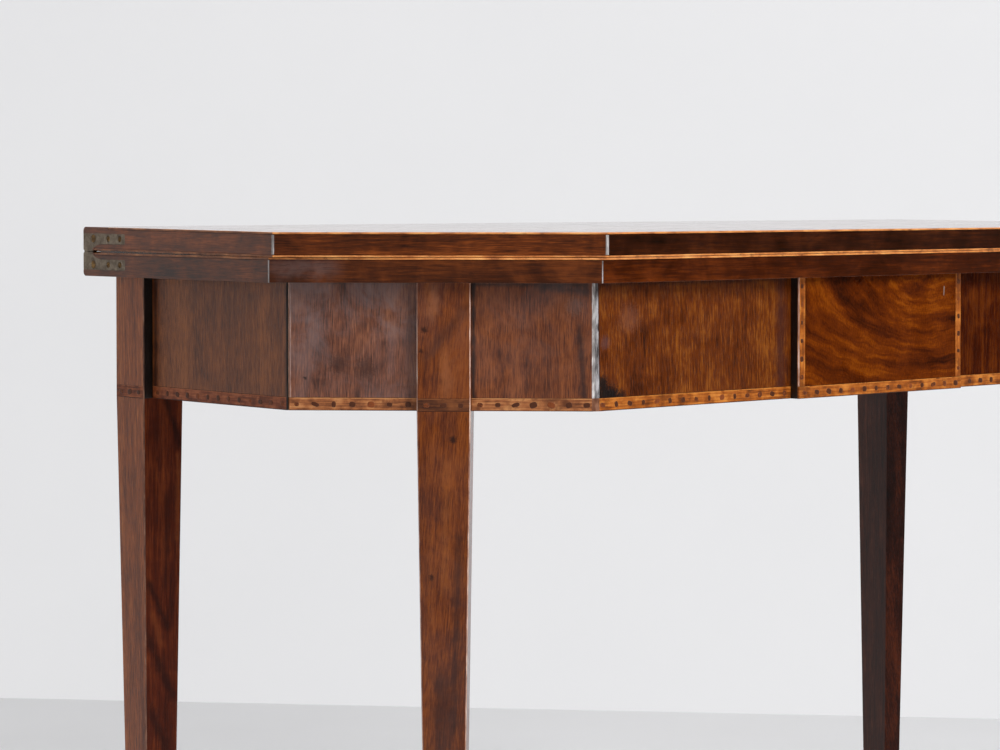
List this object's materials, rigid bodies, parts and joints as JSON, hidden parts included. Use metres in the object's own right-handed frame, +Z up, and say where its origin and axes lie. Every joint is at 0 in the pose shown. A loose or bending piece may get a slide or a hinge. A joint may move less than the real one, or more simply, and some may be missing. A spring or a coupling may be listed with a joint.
{
  "type": "fold-over card table",
  "caption": "Half-octagonal mahogany card table with a fold-over top, veneered frieze with chequer banding, square tapered legs and swinging gate legs.",
  "frame": {"origin": "on the floor, under the middle of the table's box", "axes": "+X along the width, to the right seen from the front; +Y to the back; +Z up"},
  "size_m": [1.01, 0.4397, 0.7362],
  "materials": {
    "mahogany_top": "waxed",
    "mahogany_leg": "waxed",
    "mahogany_veneer": "waxed",
    "flame_veneer": "waxed",
    "boxwood_line": "waxed",
    "chequer_banding": "waxed",
    "carcase_wood": "bare",
    "brass": "dulled",
    "iron": "dark"
  },
  "bodies": {
    "frame": {"back_rail": "carcase_wood", "corner_blocks": "carcase_wood", "cross_bearer": "carcase_wood", "fixed_hinge_screws": "brass", "fixed_leaf": "mahogany_top", "fixed_leaf_stringing": "boxwood_line", "front_rail": "carcase_wood", "knuckle_block": "carcase_wood", "knuckle_block_screws": "iron", "left_canted_front_banding": "chequer_banding", "left_canted_front_veneer": "mahogany_veneer", "left_canted_rail": "carcase_wood", "left_canted_rear_banding": "chequer_banding", "left_canted_rear_veneer": "mahogany_veneer", "left_end_banding": "chequer_banding", "left_end_rail": "carcase_wood", "left_end_veneer": "mahogany_veneer", "left_fixed_hinge_plate": "brass", "left_front_flank_banding": "chequer_banding", "left_front_flank_veneer": "mahogany_veneer", "left_front_leg": "mahogany_leg", "left_front_leg_banding": "chequer_banding", "left_gate_pin": "iron", "left_hinge_pin": "brass", "left_tablet_side_banding": "chequer_banding", "right_canted_front_banding": "chequer_banding", "right_canted_front_veneer": "mahogany_veneer", "right_canted_rail": "carcase_wood", "right_canted_rear_banding": "chequer_banding", "right_canted_rear_veneer": "mahogany_veneer", "right_end_banding": "chequer_banding", "right_end_rail": "carcase_wood", "right_end_veneer": "mahogany_veneer", "right_fixed_hinge_plate": "brass", "right_front_flank_banding": "chequer_banding", "right_front_flank_veneer": "mahogany_veneer", "right_front_leg": "mahogany_leg", "right_front_leg_banding": "chequer_banding", "right_gate_pin": "iron", "right_hinge_pin": "brass", "right_tablet_side_banding": "chequer_banding", "tablet_banding": "chequer_banding", "tablet_core": "mahogany_veneer", "tablet_veneer": "flame_veneer", "top_pocket_screws": "iron"},
    "flap": {"flap_hinge_screws": "brass", "flap_leaf": "mahogany_top", "flap_lower_stringing": "boxwood_line", "flap_upper_stringing": "boxwood_line", "left_flap_hinge_plate": "brass", "right_flap_hinge_plate": "brass"},
    "left_gate": {"left_fly_rail": "carcase_wood", "left_gate_leg": "mahogany_leg", "left_gate_leg_banding": "chequer_banding"},
    "right_gate": {"right_fly_rail": "carcase_wood", "right_gate_leg": "mahogany_leg", "right_gate_leg_banding": "chequer_banding"}
  },
  "joints": [
    {"name": "flap_fold", "type": "hinge", "parent": "frame", "child": "flap", "pos_m": [0, 0.21198, 0.7161], "axis": [-1, 0, 0], "range_deg": [0, 180.25]},
    {"name": "left_gate_swing", "type": "hinge", "parent": "frame", "child": "left_gate", "pos_m": [-0.065, 0.15468, 0.65], "axis": [0, 0, -1], "range_deg": [0, 75]},
    {"name": "right_gate_swing", "type": "hinge", "parent": "frame", "child": "right_gate", "pos_m": [0.065, 0.15468, 0.65], "axis": [0, 0, 1], "range_deg": [-5, 70]}
  ]
}
